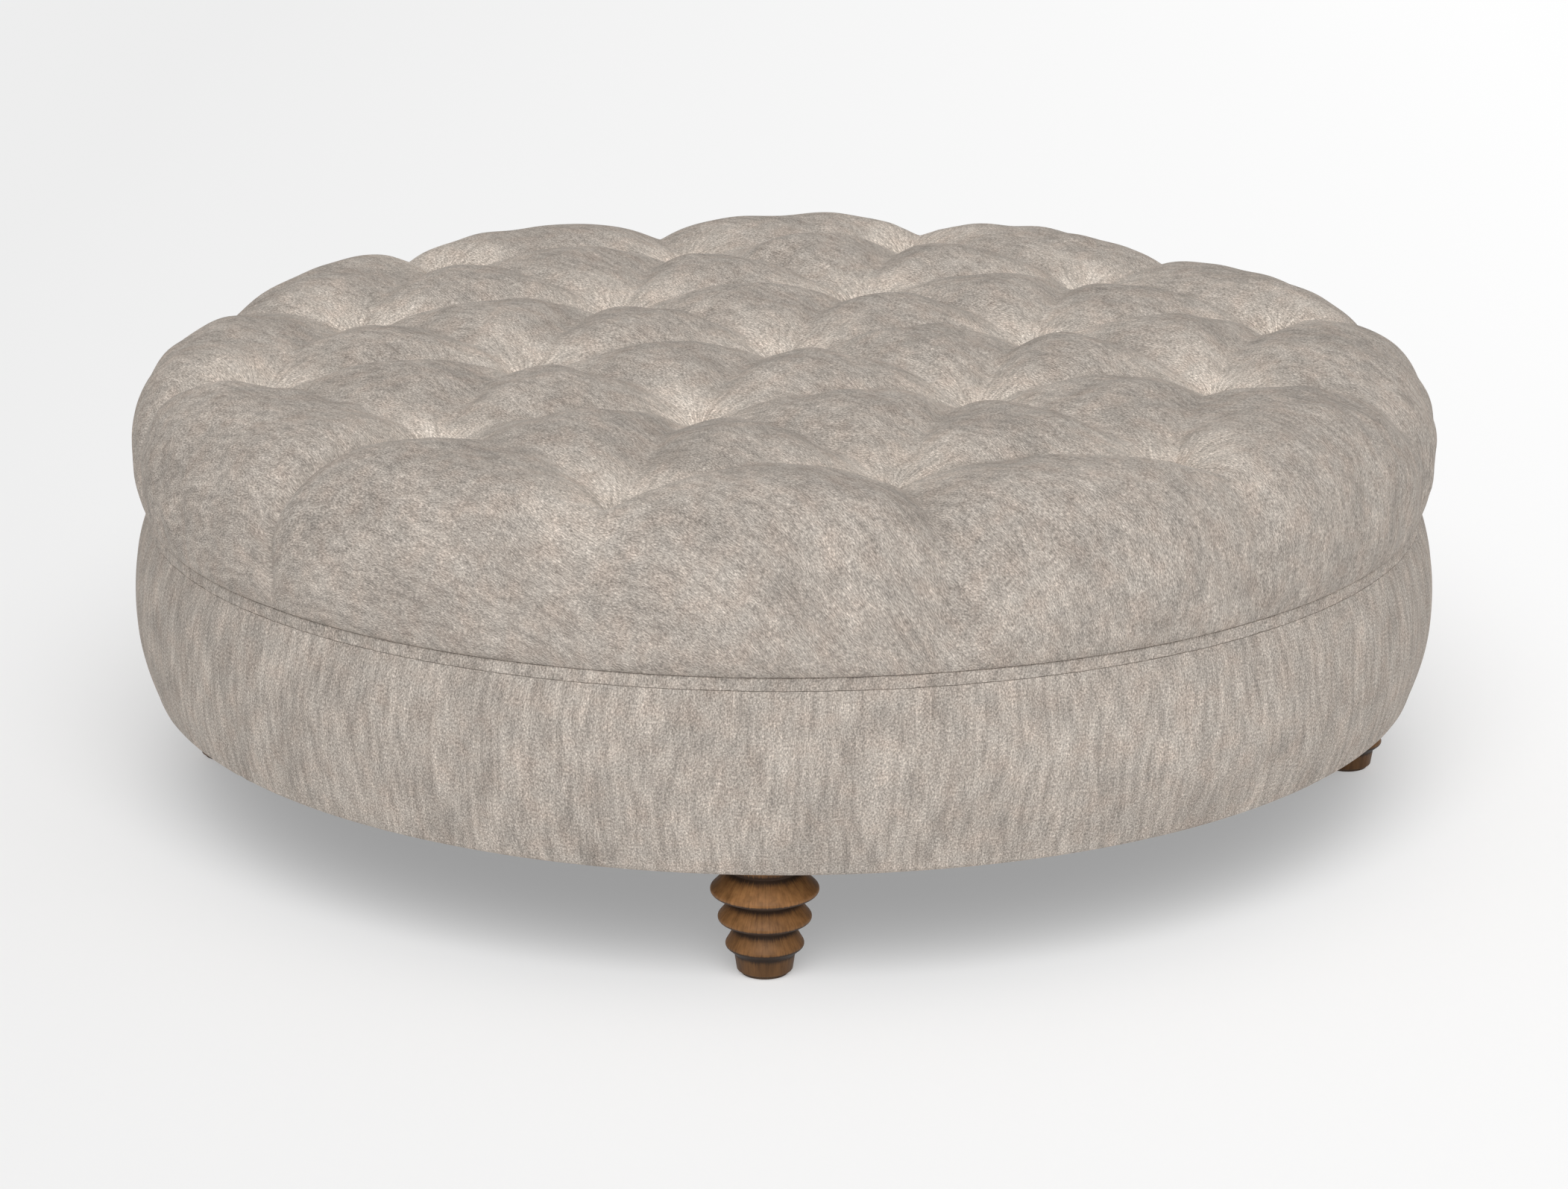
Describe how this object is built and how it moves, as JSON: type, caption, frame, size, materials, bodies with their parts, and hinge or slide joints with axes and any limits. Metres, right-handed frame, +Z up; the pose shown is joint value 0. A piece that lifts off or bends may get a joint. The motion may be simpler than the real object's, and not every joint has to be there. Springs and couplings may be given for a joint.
{
  "type": "round tufted footstool",
  "caption": "Large round footstool: a tufted cushion and a padded, piped base band over a plywood drum on turned wooden feet.",
  "frame": {"origin": "on the floor, under the middle of the footstool", "axes": "+Z up, -Y towards the front foot, +X to the right seen from the front"},
  "size_m": [1.2202, 1.22, 0.4349],
  "materials": {
    "cover_cloth": "matte",
    "foam": "matte",
    "twine": "matte",
    "toggle_plastic": "satin",
    "plywood": "matte",
    "softwood": "matte",
    "fibreboard": "matte",
    "card": "matte",
    "dust_cloth": "matte",
    "turned_wood": "satin",
    "felt": "matte",
    "steel": "satin"
  },
  "bodies": {
    "root": {"cushion_cover": "cover_cloth", "band_cover": "cover_cloth", "welt": "cover_cloth", "foam_core": "foam", "band_padding": "foam", "tuft_twines": "twine", "tuft_toggles": "toggle_plastic", "deck_panel": "plywood", "bottom_ring": "plywood", "upright_posts": "softwood", "deck_battens": "softwood", "leg_blocks": "softwood", "band_skin": "fibreboard", "tack_strip": "card", "dust_cover": "dust_cloth", "turned_feet": "turned_wood", "felt_pads": "felt", "hanger_bolts": "steel", "plate_nuts": "steel"}
  },
  "joints": []
}
